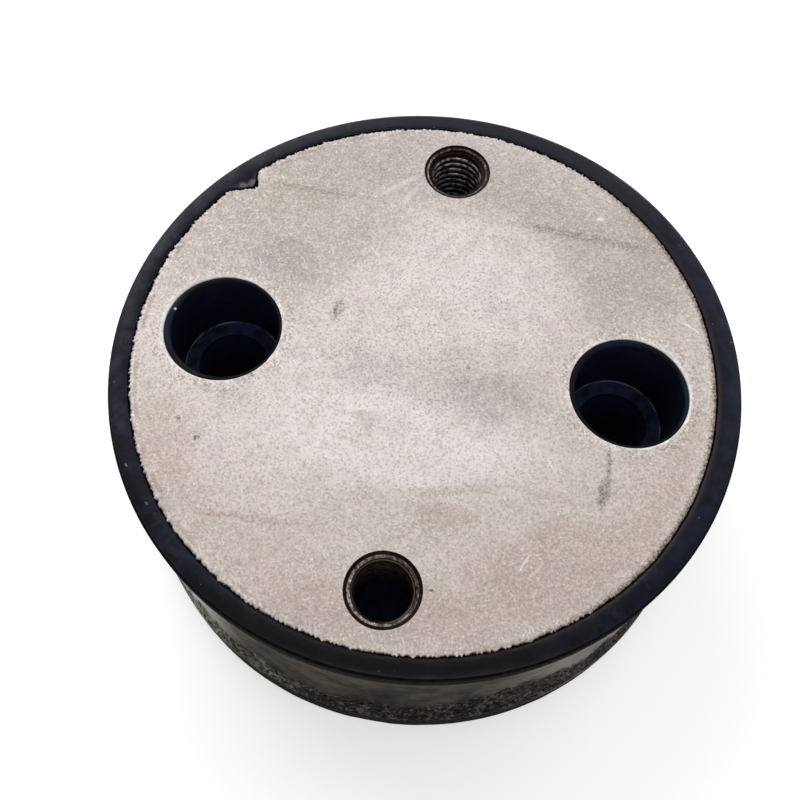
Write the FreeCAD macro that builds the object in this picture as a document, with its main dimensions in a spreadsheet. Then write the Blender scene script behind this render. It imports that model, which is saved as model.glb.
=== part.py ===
import FreeCAD, Part
import os

import Sketcher

# Rubber damper block: two round steel plates bonded into one rubber moulding.
# Millimetres, +Z up. The origin is the centre of the base face.
# The two stepped bores lie on the X axis and the two tapped holes on the Y axis.

SIZES = (
    ("plate_diameter", 112.0, "outside of both steel plates"),
    ("top_plate_thickness", 16.0, "steel plate with the tapped holes"),
    ("rubber_thickness", 21.0, "rubber between the two plates"),
    ("base_plate_thickness", 12.0, "steel plate at the base"),
    ("rim_cover", 4.7, "rubber round the edge of the top plate"),
    ("flange_cover", 5.7, "rubber round the edge of the base plate"),
    ("waist_cover", 2.9, "rubber outside the plates at the narrowest place"),
    ("rim_face_height", 5.0, "upright face of the rim"),
    ("flange_face_height", 7.0, "upright face of the flange"),
    ("rim_bevel", 1.0, "bevel on the rim's top corner"),
    ("corner_bevel", 0.6, "bevels on the other outer corners"),
    ("bore_edge_wall", 4.9, "steel between a large hole and the plate's edge"),
    ("head_bore_diameter", 21.0, "wide upper part of a stepped bore"),
    ("shank_bore_diameter", 14.0, "narrow lower part of a stepped bore"),
    ("lining_thickness", 1.0, "rubber sleeve inside the plate's large holes"),
    ("bore_edge_break", 0.4, "chamfer on the plate's large holes"),
    ("thread_edge_wall", 3.7, "steel between a tapped hole's mouth and the plate's edge"),
    ("thread_diameter", 12.0, "nominal size of the tapped holes"),
    ("thread_pitch", 1.75, "pitch of the tapped holes"),
    ("mouth_diameter", 13.8, "countersink at the top of a tapped hole"),
)

MOUTH_ANGLE = 90.0
PAIR = 2
FULL_TURN = 360.0
MATCH = 1e-4

# A sketch's axes and a curve's points, as constraints number them.
X_AXIS, Y_AXIS = -1, -2
START, END, CENTRE = 1, 2, 3

BLOCK_HEIGHT = "Sizes.base_plate_thickness + Sizes.rubber_thickness + Sizes.top_plate_thickness"
TOP_PLATE_SEAT = "Sizes.base_plate_thickness + Sizes.rubber_thickness"
PLATE_RADIUS = "Sizes.plate_diameter / 2"
RIM_RADIUS = "Sizes.plate_diameter / 2 + Sizes.rim_cover"
FLANGE_RADIUS = "Sizes.plate_diameter / 2 + Sizes.flange_cover"
WAIST_RADIUS = "Sizes.plate_diameter / 2 + Sizes.waist_cover"
LINED_HOLE_DIAMETER = "Sizes.head_bore_diameter + 2 * Sizes.lining_thickness"
BORE_PLACE = f"{PLATE_RADIUS} - Sizes.bore_edge_wall - ({LINED_HOLE_DIAMETER}) / 2"
TAP_DRILL_DIAMETER = "Sizes.thread_diameter - Sizes.thread_pitch"
THREAD_PLACE = f"{PLATE_RADIUS} - Sizes.thread_edge_wall - Sizes.mouth_diameter / 2"


def make_sheet(doc):
    sheet = doc.addObject("Spreadsheet::Sheet", "Sizes")
    for row, (alias, value, meaning) in enumerate(SIZES, start=1):
        sheet.set(f"A{row}", meaning)
        sheet.set(f"B{row}", str(value))
        sheet.setAlias(f"B{row}", alias)
    doc.recompute()
    return sheet


def measure(sheet, formula):
    """Work a formula of sheet sizes out to a plain number."""
    result = sheet.evalExpression(formula)
    return float(getattr(result, "Value", result))


def make_body(doc, label):
    body = doc.addObject("PartDesign::Body", label)
    body.Label = label
    return body


def origin_feature(body, role):
    for feature in body.Origin.OriginFeatures:
        if feature.Role == role:
            return feature
    raise ValueError(f"{body.Label} has no {role}")


def make_sketch(body, name, plane, lift=None):
    """Put a sketch on one of the body's own planes, raised by a formula where one is given."""
    sketch = body.newObject("Sketcher::SketchObject", name)
    sketch.AttachmentSupport = [(origin_feature(body, plane), "")]
    sketch.MapMode = "FlatFace"
    if lift:
        sketch.setExpression(".AttachmentOffset.Base.z", lift)
    return sketch


def constrain(sketch, name, formula, constraint):
    """Add a dimension that follows a formula of sheet sizes."""
    index = sketch.addConstraint(constraint)
    sketch.renameConstraint(index, name)
    sketch.setExpression(f".Constraints.{name}", formula)


def draw_circle(sketch, sheet, diameter, x=None, y=None):
    """Draw one circle on the sketch's X or Y axis, or at its origin."""
    centre = FreeCAD.Vector(measure(sheet, x) if x else 0, measure(sheet, y) if y else 0, 0)
    size = measure(sheet, diameter)
    circle = sketch.addGeometry(Part.Circle(centre, FreeCAD.Vector(0, 0, 1), size / 2))
    constrain(sketch, "diameter", diameter, Sketcher.Constraint("Diameter", circle, size))
    if x:
        place = Sketcher.Constraint("DistanceX", X_AXIS, START, circle, CENTRE, centre.x)
        constrain(sketch, "place_x", x, place)
    else:
        sketch.addConstraint(Sketcher.Constraint("PointOnObject", circle, CENTRE, Y_AXIS))
    if y:
        place = Sketcher.Constraint("DistanceY", X_AXIS, START, circle, CENTRE, centre.y)
        constrain(sketch, "place_y", y, place)
    else:
        sketch.addConstraint(Sketcher.Constraint("PointOnObject", circle, CENTRE, X_AXIS))


def locate(sketch, sheet, name, geometry, end, x=None, y=None):
    """Dimension a point of the sketch from its axes. A formula of "0" puts it on the axis."""
    for formula, kind, axis in ((x, "DistanceX", Y_AXIS), (y, "DistanceY", X_AXIS)):
        if formula == "0":
            sketch.addConstraint(Sketcher.Constraint("PointOnObject", geometry, end, axis))
        elif formula:
            size = measure(sheet, formula)
            distance = Sketcher.Constraint(kind, X_AXIS, START, geometry, end, size)
            constrain(sketch, name + kind[-1].lower(), formula, distance)


def draw_half_section(sketch, sheet, corners, hollow_after, narrowest_radius):
    """Draw a closed half section through corners, each (name, radius, height) in formulas.

    The side that leaves the corner named hollow_after is an arc, drawn in towards the axis
    as far as narrowest_radius. The other sides are straight.
    """
    points = [FreeCAD.Vector(measure(sheet, x), measure(sheet, y), 0) for _, x, y in corners]
    sides = []
    for (name, _, _), start, end in zip(corners, points, points[1:] + points[:1]):
        if name == hollow_after:
            waist = FreeCAD.Vector(measure(sheet, narrowest_radius), (start.y + end.y) / 2, 0)
            hollow = sketch.addGeometry(Part.Arc(start, waist, end))
            # The arc runs anticlockwise whichever way it was drawn.
            backwards = sketch.getPoint(hollow, START).distanceToPoint(start) > MATCH
            sides.append((hollow, END, START) if backwards else (hollow, START, END))
        else:
            sides.append((sketch.addGeometry(Part.LineSegment(start, end)), START, END))
    for (side, _, end), (following, start, _) in zip(sides, sides[1:] + sides[:1]):
        sketch.addConstraint(Sketcher.Constraint("Coincident", side, end, following, start))

    last_x = last_y = last_side = None
    for (name, x, y), (side, start, _) in zip(corners, sides):
        if x == last_x:
            sketch.addConstraint(Sketcher.Constraint("Vertical", last_side))
        if y == last_y:
            sketch.addConstraint(Sketcher.Constraint("Horizontal", last_side))
        locate(sketch, sheet, name, side, start, None if x == last_x else x, None if y == last_y else y)
        last_x, last_y, last_side = x, y, side

    narrowest = sketch.addGeometry(Part.Point(waist), True)
    sketch.addConstraint(Sketcher.Constraint("PointOnObject", narrowest, START, hollow))
    sketch.addConstraint(Sketcher.Constraint("Horizontal", narrowest, START, hollow, CENTRE))
    locate(sketch, sheet, "narrowest", narrowest, START, narrowest_radius)


def add_pad(body, sketch, name, length):
    pad = body.newObject("PartDesign::Pad", name)
    pad.Profile = sketch
    pad.setExpression("Length", length)
    return pad


def add_pocket(body, sketch, name, depth=None, upwards=False):
    """Cut a sketch down into the body, or up, to a depth or right through."""
    pocket = body.newObject("PartDesign::Pocket", name)
    pocket.Profile = sketch
    pocket.Reversed = upwards
    if depth:
        pocket.setExpression("Length", depth)
    else:
        pocket.Type = "ThroughAll"
    return pocket


def repeat_opposite(body, features, name):
    """Repeat features half a turn round the body's upright axis."""
    pattern = body.newObject("PartDesign::PolarPattern", name)
    pattern.Originals = features
    pattern.Axis = (origin_feature(body, "Z_Axis"), [""])
    pattern.Angle = FULL_TURN
    pattern.Occurrences = PAIR
    body.Tip = pattern
    return pattern


def ring_edges(feature, radius, height):
    """Names of the feature's full circles of one radius at one height."""
    names = []
    for number, edge in enumerate(feature.Shape.Edges, start=1):
        curve = edge.Curve
        if isinstance(curve, Part.Circle) and edge.isClosed():
            if abs(curve.Radius - radius) < MATCH and abs(curve.Center.z - height) < MATCH:
                names.append(f"Edge{number}")
    if not names:
        raise ValueError(f"{feature.Label} has no ring of radius {radius} at height {height}")
    return names


def add_bevel(body, base, edges, name, size):
    """Chamfer edges of the base feature."""
    bevel = body.newObject("PartDesign::Chamfer", name)
    bevel.Base = (base, edges)
    bevel.setExpression("Size", size)
    body.Tip = bevel
    return bevel


def expect_volume(feature, base, change):
    """Stop where a feature doesn't change its base's volume by the amount it should."""
    actual = feature.Shape.Volume - base.Shape.Volume
    if abs(actual - change) > MATCH * abs(change):
        raise ValueError(f"{feature.Label} changes the volume by {actual}, not {change}")


def disc_volume(diameter, thickness):
    return Part.makeCylinder(diameter / 2, thickness).Volume


def make_top_plate(doc, sheet):
    """Thick disc with two lined holes on X and two countersunk tapped holes on Y."""
    body = make_body(doc, "top_plate")
    body.setExpression(".Placement.Base.z", TOP_PLATE_SEAT)
    blank_sketch = make_sketch(body, "top_blank_outline", "XY_Plane")
    draw_circle(blank_sketch, sheet, "Sizes.plate_diameter")
    blank = add_pad(body, blank_sketch, "top_blank", "Sizes.top_plate_thickness")

    large_sketch = make_sketch(body, "large_hole_outline", "XY_Plane")
    draw_circle(large_sketch, sheet, LINED_HOLE_DIAMETER, x=BORE_PLACE)
    large_hole = add_pocket(body, large_sketch, "large_hole", upwards=True)
    large_holes = repeat_opposite(body, [large_hole], "large_holes")
    doc.recompute()
    thickness = measure(sheet, "Sizes.top_plate_thickness")
    lined_diameter = measure(sheet, LINED_HOLE_DIAMETER)
    expect_volume(large_holes, blank, -PAIR * disc_volume(lined_diameter, thickness))

    rings = ring_edges(large_holes, lined_diameter / 2, thickness)
    broken_edges = add_bevel(body, large_holes, rings, "large_hole_edges", "Sizes.bore_edge_break")

    tapped_sketch = make_sketch(body, "tapped_hole_centre", "XY_Plane", "Sizes.top_plate_thickness")
    draw_circle(tapped_sketch, sheet, TAP_DRILL_DIAMETER, y=THREAD_PLACE)
    doc.recompute()
    tapped_hole = body.newObject("PartDesign::Hole", "tapped_hole")
    tapped_hole.Profile = tapped_sketch
    tapped_hole.ThreadType = "None"
    tapped_hole.DepthType = "ThroughAll"
    tapped_hole.setExpression("Diameter", TAP_DRILL_DIAMETER)
    tapped_hole.HoleCutType = "Countersink"
    tapped_hole.HoleCutCountersinkAngle = MOUTH_ANGLE
    tapped_hole.setExpression("HoleCutDiameter", "Sizes.mouth_diameter")
    repeat_opposite(body, [tapped_hole], "tapped_holes")
    doc.recompute()
    expect_volume(tapped_hole, broken_edges, -tapped_hole_volume(sheet))
    return body


def tapped_hole_volume(sheet):
    """Volume of a straight hole with a countersunk mouth."""
    thickness = measure(sheet, "Sizes.top_plate_thickness")
    drill = measure(sheet, TAP_DRILL_DIAMETER)
    mouth = measure(sheet, "Sizes.mouth_diameter")
    # A right-angled countersink is as deep as it is wide on one side.
    depth = (mouth - drill) / 2
    cone = Part.makeCone(drill / 2, mouth / 2, depth).Volume
    return disc_volume(drill, thickness - depth) + cone


def make_base_plate(doc, sheet):
    """Disc with two plain bolt holes, in line with the stepped bores."""
    body = make_body(doc, "base_plate")
    blank_sketch = make_sketch(body, "base_blank_outline", "XY_Plane")
    draw_circle(blank_sketch, sheet, "Sizes.plate_diameter")
    blank = add_pad(body, blank_sketch, "base_blank", "Sizes.base_plate_thickness")

    bolt_sketch = make_sketch(body, "bolt_hole_outline", "XY_Plane")
    draw_circle(bolt_sketch, sheet, "Sizes.shank_bore_diameter", x=BORE_PLACE)
    bolt_hole = add_pocket(body, bolt_sketch, "bolt_hole", upwards=True)
    bolt_holes = repeat_opposite(body, [bolt_hole], "bolt_holes")
    doc.recompute()
    thickness = measure(sheet, "Sizes.base_plate_thickness")
    diameter = measure(sheet, "Sizes.shank_bore_diameter")
    expect_volume(bolt_holes, blank, -PAIR * disc_volume(diameter, thickness))
    return body


def make_rubber_body(doc, sheet):
    """One moulding: waisted wall round both plates, sleeves in the large holes, stepped bores."""
    body = make_body(doc, "rubber_body")
    flange_shoulder = "Sizes.flange_face_height"
    rim_shoulder = f"{BLOCK_HEIGHT} - Sizes.rim_face_height"
    wall_sketch = make_sketch(body, "wall_section", "XZ_Plane")
    corners = (
        ("core_low", "0", "Sizes.base_plate_thickness"),
        ("base_seat", PLATE_RADIUS, "Sizes.base_plate_thickness"),
        ("base_inner", PLATE_RADIUS, "0"),
        ("base_outer", FLANGE_RADIUS, "0"),
        ("flange_top", FLANGE_RADIUS, flange_shoulder),
        ("rim_bottom", RIM_RADIUS, rim_shoulder),
        ("rim_top", RIM_RADIUS, BLOCK_HEIGHT),
        ("rim_inner", PLATE_RADIUS, BLOCK_HEIGHT),
        ("top_seat", PLATE_RADIUS, TOP_PLATE_SEAT),
        ("core_high", "0", TOP_PLATE_SEAT),
    )
    draw_half_section(wall_sketch, sheet, corners, "flange_top", WAIST_RADIUS)
    wall = body.newObject("PartDesign::Revolution", "wall")
    wall.Profile = wall_sketch
    wall.ReferenceAxis = (wall_sketch, ["V_Axis"])
    wall.Angle = FULL_TURN
    doc.recompute()

    height = measure(sheet, BLOCK_HEIGHT)
    rim_radius = measure(sheet, RIM_RADIUS)
    flange_radius = measure(sheet, FLANGE_RADIUS)
    rim_rings = ring_edges(wall, rim_radius, height)
    bevelled_rim = add_bevel(body, wall, rim_rings, "bevelled_rim", "Sizes.rim_bevel")
    doc.recompute()
    corner_rings = (
        ring_edges(bevelled_rim, rim_radius, measure(sheet, rim_shoulder))
        + ring_edges(bevelled_rim, flange_radius, measure(sheet, flange_shoulder))
        + ring_edges(bevelled_rim, flange_radius, 0.0)
    )
    bevelled_wall = add_bevel(body, bevelled_rim, corner_rings, "bevelled_corners",
                              "Sizes.corner_bevel")

    sleeve_sketch = make_sketch(body, "sleeve_outline", "XY_Plane", TOP_PLATE_SEAT)
    draw_circle(sleeve_sketch, sheet, LINED_HOLE_DIAMETER, x=BORE_PLACE)
    sleeve = add_pad(body, sleeve_sketch, "sleeve", "Sizes.top_plate_thickness")
    head_sketch = make_sketch(body, "head_bore_outline", "XY_Plane", BLOCK_HEIGHT)
    draw_circle(head_sketch, sheet, "Sizes.head_bore_diameter", x=BORE_PLACE)
    head_bore = add_pocket(body, head_sketch, "head_bore", "Sizes.top_plate_thickness")
    shank_sketch = make_sketch(body, "shank_bore_outline", "XY_Plane")
    draw_circle(shank_sketch, sheet, "Sizes.shank_bore_diameter", x=BORE_PLACE)
    shank_bore = add_pocket(body, shank_sketch, "shank_bore", upwards=True)
    bores = repeat_opposite(body, [sleeve, head_bore, shank_bore], "stepped_bores")
    doc.recompute()
    sleeve_height = measure(sheet, "Sizes.top_plate_thickness")
    sleeve_volume = (disc_volume(measure(sheet, LINED_HOLE_DIAMETER), sleeve_height)
                     - disc_volume(measure(sheet, "Sizes.head_bore_diameter"), sleeve_height))
    shank_volume = disc_volume(measure(sheet, "Sizes.shank_bore_diameter"),
                               measure(sheet, "Sizes.rubber_thickness"))
    expect_volume(bores, bevelled_wall, PAIR * (sleeve_volume - shank_volume))
    return body


def check_document(doc, bodies):
    for item in doc.Objects:
        if "Invalid" in item.State or "Error" in item.State:
            raise RuntimeError(f"{item.Label} failed: {item.State}")
    for body in bodies:
        shape = body.Shape
        if shape.isNull() or not shape.isValid() or len(shape.Solids) != 1:
            raise RuntimeError(f"{body.Label} isn't one valid solid")


def main():
    doc = FreeCAD.newDocument("rubber_damper_block")
    sheet = make_sheet(doc)
    bodies = [
        make_base_plate(doc, sheet),
        make_rubber_body(doc, sheet),
        make_top_plate(doc, sheet),
    ]
    doc.recompute()
    check_document(doc, bodies)
    os.makedirs("parts", exist_ok=True)
    for body in bodies:
        body.Shape.exportStep(f"parts/{body.Label}.step")
        box = body.Shape.optimalBoundingBox()
        print(f"{body.Label}: {box.XLength:.2f} x {box.YLength:.2f} x {box.ZLength:.2f},"
              f" from z {box.ZMin:.2f}, volume {body.Shape.Volume:.0f}")


main()
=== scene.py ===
import math

import bpy
import numpy as np
from mathutils import Matrix, Vector, noise
from mathutils.geometry import delaunay_2d_cdt


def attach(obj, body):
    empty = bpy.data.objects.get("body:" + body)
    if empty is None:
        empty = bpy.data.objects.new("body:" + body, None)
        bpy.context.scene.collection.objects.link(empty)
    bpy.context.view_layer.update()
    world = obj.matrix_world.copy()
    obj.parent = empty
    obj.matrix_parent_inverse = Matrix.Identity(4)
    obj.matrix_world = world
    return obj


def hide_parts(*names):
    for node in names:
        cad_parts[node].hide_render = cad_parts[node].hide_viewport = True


# Looks of the rubber damper block, in metres in the part's own frame.
# Lengths named below are millimetres, angles are degrees.
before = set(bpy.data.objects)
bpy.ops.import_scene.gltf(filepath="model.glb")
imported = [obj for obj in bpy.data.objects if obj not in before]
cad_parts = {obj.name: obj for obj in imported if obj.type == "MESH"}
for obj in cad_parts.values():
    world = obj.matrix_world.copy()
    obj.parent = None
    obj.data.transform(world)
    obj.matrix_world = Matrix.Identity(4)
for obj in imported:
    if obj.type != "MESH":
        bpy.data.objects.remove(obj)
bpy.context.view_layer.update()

MM = 0.001
TOP = 49.0
TOP_SEAT = 33.0
BASE_TOP = 12.0
PLATE_RADIUS = 56.0
BORE_PLACE = 39.6
THREAD_PLACE = 45.4

# The outlines of the rim and of the flange, as radii that follow harmonics of the
# angle: mean, then cosine and sine parts. The moulding sits a little off centre.
OUTLINE_TURN = 4.17
RIM_OUTLINE = (60.61, 0.463, 0.224, 0.203, 0.15, 0.014, 0.015, -0.101, -0.024)
FLANGE_OUTLINE = (61.515, 0.339, -0.237, -0.201, -0.322, -0.016, 0.039, -0.162, -0.159)
WIDEST = 61.68

RIM_SEGMENTS = 960
EDGE_SEGMENTS = 1440
BORE_SEGMENTS = 160
THREAD_SEGMENTS = 96
BASE_SEGMENTS = 360

STEEL_FACE = 48.93
# The plate and its seat are round up to the first height, and worn above the second.
ROUND_BELOW, WORN_ABOVE = 45.5, 46.0
RIM_FACE_BOTTOM = 44.0
FLANGE_FACE_TOP = 7.0
WAIST_DEPTH = 2.3
# The wall is cut back a little more close under the rim.
UNDERCUT, UNDERCUT_HEIGHT = 0.35, 0.6
UPPER_WALL_ROWS = 17
# The crumbled band of the wall starts over the flange. Its upper edge wanders: at each
# angle, its height.
TORN_LOW = 7.5
TORN_STEP = 0.38
CRUMB_SIZE, CRUMB_RELIEF = 1.3, 0.22
TORN_ANGLES = (-180, -135, -126, -117, -98, -90, -81, -71, -64, -55, -46, -35, 0, 60, 120, 180)
TORN_HEIGHTS = (9, 11, 12.5, 14.5, 14, 16, 14, 17.5, 19, 17, 15, 14, 12, 14, 12, 9)

# The notch in the plate's edge, as angles and how far it goes in there.
NOTCH_ANGLES = (137.6, 138.3, 139.4, 140.2, 140.9, 141.8, 143.0, 144.2, 145.3)
NOTCH_DEPTHS = (0.0, 0.9, 2.3, 3.0, 3.1, 2.5, 1.6, 0.8, 0.0)

# Middles of the two facets of the rubber that fills the notch, which the rim's colour paints
# lighter as a painted highlight.
NOTCH_FACETS = ((-43.6, 33.7), (-41.9, 34.7))

# Pale specks on the rim: place and strength.
RIM_DUST = (((-49.9, -30.9), 0.8), ((-44.2, -37.3), 0.45))

# The rubber's profile in the order of its rows. Out of the groove beside the plate: how far
# out from the plate's edge, and height over the top. Over the rim: share of the way to its
# shoulder, and height over the top. Shoulder and outer face: inset from the rim's outline,
# and height over the top. Foot: inset from the flange's outline, and height.
GROOVE_PROFILE = ((0.02, -1.1), (0.14, -0.85), (0.28, -0.5), (0.42, -0.27), (0.66, -0.12))
RIM_PROFILE = ((0, -0.06), (0.12, -0.03), (0.25, -0.02), (0.4, -0.02), (0.55, -0.04),
               (0.7, -0.08), (0.85, -0.14), (1.0, -0.22))
SHOULDER_PROFILE = ((0.7, -0.32), (0.45, -0.46))
FACE_PROFILE = ((0.22, -0.68), (0.07, -0.95), (0.0, -1.25), (0.0, -2.2), (0.0, -3.2),
                (0.0, -4.1), (0.0, -4.6), (0.1, -4.85), (0.35, -5.0))
FOOT_PROFILE = ((0.05, 6.7), (0.0, 6.2), (0.0, 4.8), (0.0, 3.3), (0.0, 1.8), (0.0, 0.7),
                (0.12, 0.3), (0.4, 0.0))
SHOULDER_INSET = 1.0
# How many rows, from the plate's seat up, lie in the groove.
GROOVE_ROWS = 7

HEAD_RADIUS_TOP, HEAD_RADIUS_LEDGE = 10.46, 10.07
SHANK_RADIUS = 7.0
LINED_RADIUS = 11.5
# A large hole's sleeve from its foot over its lip, then from the ledge down: radius, height
# and share of the lean. Between the two it narrows evenly from one height to another.
LIP_PROFILE = ((LINED_RADIUS, TOP_SEAT, 0.0), (LINED_RADIUS, 48.3, 0.0), (11.42, 48.6, 0.0),
               (11.25, 48.74, 0.2), (10.95, 48.78, 0.8), (10.66, 48.7, 1.0), (10.5, 48.45, 1.0))
SLEEVE_HIGH, SLEEVE_LOW, SLEEVE_ROWS = 48.2, 33.55, 12
LEDGE_PROFILE = ((10.02, 33.3, 0.0), (9.9, 33.12, 0.0), (9.7, 33.04, 0.0), (9.2, 33.0, 0.0),
                 (8.2, 33.0, 0.0), (7.45, 33.0, 0.0), (7.2, 32.93, 0.0), (7.06, 32.78, 0.0),
                 (SHANK_RADIUS, 32.5, 0.0))
SHANK_HEIGHTS = (28.0, 23.0, 18.0, BASE_TOP)
# Which way the lining of each hole is thicker at its lip.
LINING_LEAN = {-1: (0.35, 0.02), 1: (0.2, -0.32)}

# Where the broken edge of each large hole is widest, as an angle in radians, and how wide.
BROKEN_EDGES = {-1: (2.75, 0.6), 1: (0.05, 0.4)}
LEAST_BROKEN = 0.09
# The hole at -X has a nick in its edge: its angle, half its width in degrees, and its depth.
NICK_ANGLE, NICK_WIDTH, NICK_DEPTH = 310.0, 2.2, 0.4

MINOR_RADIUS, MAJOR_RADIUS = 5.125, 6.0
PITCH = 1.75
MOUTH_RADIUS = 6.9
# How fast the mouth narrows going down.
MOUTH_SLOPE = 1.8
MOUTH_DEPTH = 1.0
THREAD_STEP = PITCH / 20
# How far the start of each thread is turned, in radians.
THREAD_TURNS = {-1: 0.4, 1: 2.1}

# The top plate's face is one flat piece up to this radius, with rings outside it.
FACE_RADIUS = 52.9
# The worn edge: how far out from the plate's edge, and how far it has dropped.
WORN_PROFILE = ((-0.8, 0.0), (-0.6, 0.0), (-0.4, 0.01), (-0.22, 0.03), (-0.08, 0.08),
                (0.04, 0.2), (0.12, 0.45), (0.14, 0.8))
# The broken edge of a large hole: clearance, then shares of its width and of its depth.
BROKEN_PROFILE = ((0.05, 1.1, 0.0), (0.03, 1.0, 0.02), (0.0, 0.25, 0.1), (0.0, 0.0, 0.5))

BASE_CHAMFER, BASE_HOLE_CHAMFER = 0.4, 0.5


def srgb(red, green, blue):
    """A colour given as 0 to 255, as linear values."""
    values = []
    for part in (red, green, blue):
        part /= 255
        values.append(part / 12.92 if part <= 0.04045 else ((part + 0.055) / 1.055) ** 2.4)
    return (*values, 1.0)


def angles(count):
    return np.arange(count) * 2 * math.pi / count


def outline(parts, theta):
    """Radius at each angle of an outline given by its harmonics."""
    theta = theta - math.radians(OUTLINE_TURN)
    radius = np.full_like(theta, parts[0])
    for order in range(1, (len(parts) + 1) // 2):
        radius += parts[2 * order - 1] * np.cos(order * theta)
        radius += parts[2 * order] * np.sin(order * theta)
    return radius


def smooth(low, high, values):
    """0 below low, 1 above high and a smooth step between them."""
    share = np.clip((np.asarray(values, float) - low) / (high - low), 0, 1)
    return share * share * (3 - 2 * share)


def roughness(points, size, octaves=3, offset=0.0):
    """Fractal noise from about -1 to 1 at points in millimetres, with lumps of a size."""
    shift = Vector((offset, offset * 0.7, -offset))
    return np.array([
        noise.fractal(Vector(point) / size + shift, 1.0, 2.0, octaves) for point in points
    ])


def circle_points(radius, height, theta):
    radius = np.broadcast_to(radius, theta.shape)
    height = np.broadcast_to(height, theta.shape)
    return np.stack([radius * np.cos(theta), radius * np.sin(theta), height], axis=-1)


def plate_edge(theta):
    """Radius of the top plate's edge, with its notch, rubbed low places and grain."""
    degrees = np.degrees(theta) % 360
    notch = np.interp(degrees, NOTCH_ANGLES, NOTCH_DEPTHS)
    ripple = roughness(circle_points(PLATE_RADIUS, 0, theta), 9.0, 3, 3.0) * 0.13
    return PLATE_RADIUS + ripple - notch


def edge_grain(theta):
    """How far the steel's ragged edge stands out at each angle. It is calmer on the right."""
    degrees = (np.degrees(theta) + 180) % 360 - 180
    calm = smooth(-50, -25, degrees) * (1 - smooth(40, 60, degrees))
    coarse = roughness(circle_points(PLATE_RADIUS, 0, theta), 1.3, 2, 8.0)
    fine = roughness(circle_points(PLATE_RADIUS, 0, theta), 0.42, 2, 15.0)
    return np.maximum(coarse * 0.22 + fine * 0.5 - 0.05, -0.25) * (1 - 0.75 * calm)


class Shell:
    """Collects the rings and faces of one mesh, in millimetres."""

    def __init__(self):
        self.points = []
        self.faces = []
        self.kinds = []
        self.flat = []
        self.count = 0

    def ring(self, points):
        start = self.count
        self.points.append(np.asarray(points, float))
        self.count += len(points)
        return np.arange(start, self.count)

    def bridge(self, first, second, kind):
        """Join two rings of equal count by a band of faces."""
        following_first, following_second = np.roll(first, -1), np.roll(second, -1)
        for quad in zip(first, second, following_second, following_first):
            self.faces.append(tuple(int(index) for index in quad))
            self.kinds.append(kind)
            self.flat.append(False)

    def rings(self, rows, kind=0, after=None):
        """Add rows of points as rings joined in order, and return the first and last."""
        last = after
        first = None
        for row in rows:
            ring = self.ring(row)
            if last is not None:
                self.bridge(last, ring, kind)
            first = ring if first is None else first
            last = ring
        return first, last

    def fill(self, outer, holes, kind=0, up=True):
        """Fill a level face between an outer ring and the rings of its holes."""
        everything = np.concatenate(self.points)
        loops = [outer, *holes]
        index = np.concatenate(loops)
        flat_points = [Vector(everything[i][:2]) for i in index]
        edges = []
        start = 0
        for loop in loops:
            count = len(loop)
            edges += [(start + i, start + (i + 1) % count) for i in range(count)]
            start += count
        middles = [everything[hole][:, :2].mean(axis=0) for hole in holes]
        reach = [
            np.linalg.norm(everything[hole][:, :2] - middle, axis=1).min()
            for hole, middle in zip(holes, middles)
        ]
        found = delaunay_2d_cdt(flat_points, edges, [], 1, 1e-6)
        spots = np.array([tuple(point) for point in found[0]])
        sources = [index[where[0]] for where in found[3]]
        for face in found[2]:
            middle = spots[list(face)].mean(axis=0)
            if any(np.linalg.norm(middle - m) < r * 0.999 for m, r in zip(middles, reach)):
                continue
            corners = [int(sources[i]) for i in face]
            self.faces.append(tuple(corners if up else reversed(corners)))
            self.kinds.append(kind)
            self.flat.append(True)

    def build(self, name, materials):
        mesh = bpy.data.meshes.new(name)
        mesh.from_pydata((np.concatenate(self.points) * MM).tolist(), [], self.faces)
        for material in materials:
            mesh.materials.append(material)
        mesh.polygons.foreach_set("material_index", self.kinds)
        mesh.polygons.foreach_set("use_smooth", [not flat for flat in self.flat])
        mesh.update()
        mesh.validate()
        piece = bpy.data.objects.new(name, mesh)
        bpy.context.scene.collection.objects.link(piece)
        return piece


def round_hole(centre, radius, height, count):
    points = circle_points(radius, height, angles(count))
    return points + np.array([centre[0], centre[1], 0])


def limit_width(points):
    """Keep points inside the block's square."""
    points[:, :2] = np.clip(points[:, :2], -WIDEST, WIDEST)
    return points


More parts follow.
